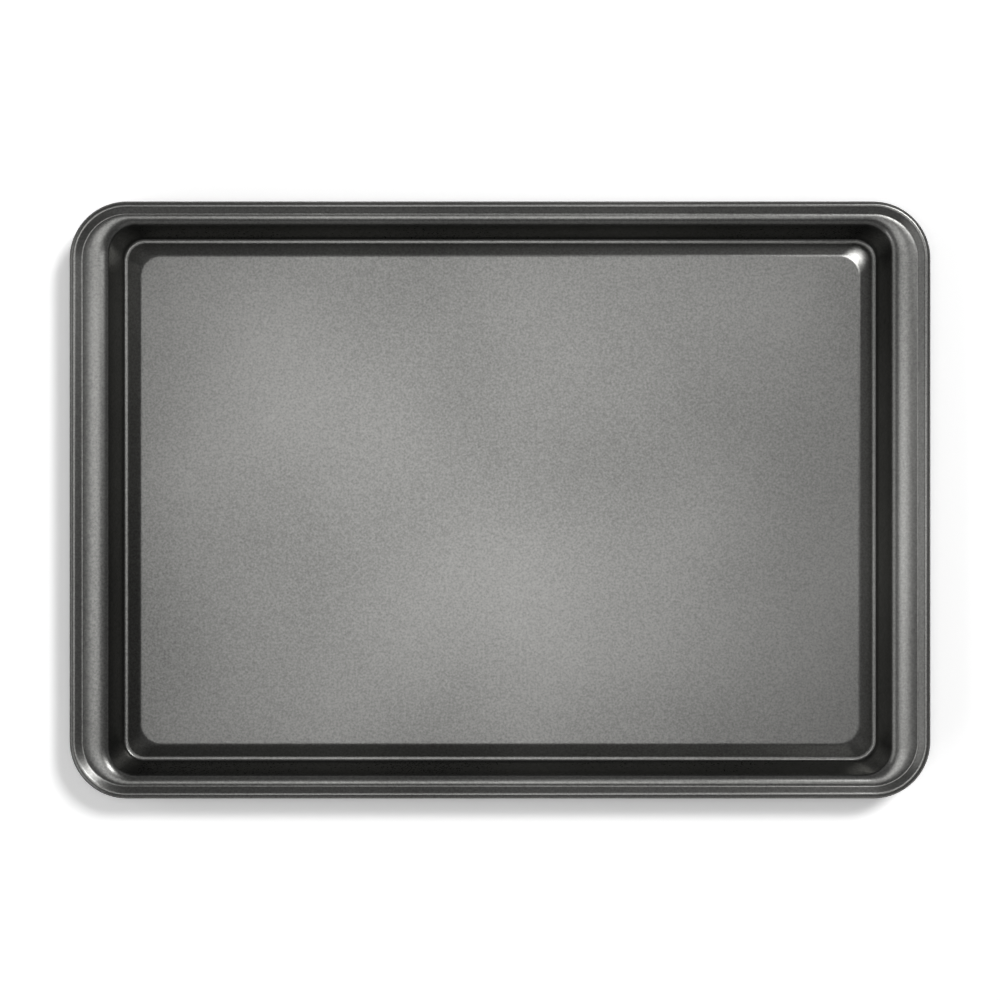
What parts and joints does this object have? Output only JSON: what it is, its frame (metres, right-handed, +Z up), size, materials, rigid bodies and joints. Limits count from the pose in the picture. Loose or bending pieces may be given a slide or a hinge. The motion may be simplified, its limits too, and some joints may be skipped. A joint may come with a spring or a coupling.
{
  "type": "jelly roll pan",
  "caption": "Shallow rectangular baking pan with a raised floor panel, steep drawn walls, a flange that falls slightly outward and a raised rim rolled round a steel wire.",
  "frame": {"origin": "on the surface that the pan stands on, under the middle of the pan", "axes": "+X along the long side, +Z up out of the pan's open top"},
  "size_m": [0.4662, 0.3234, 0.0254],
  "materials": {
    "nonstick_coating": "semi-gloss dark grey non-stick coating with a fine metallic speckle",
    "steel_wire": "drawn bright steel"
  },
  "bodies": {
    "root": {"pan_body": "nonstick_coating", "rim_wire": "steel_wire"}
  },
  "joints": []
}
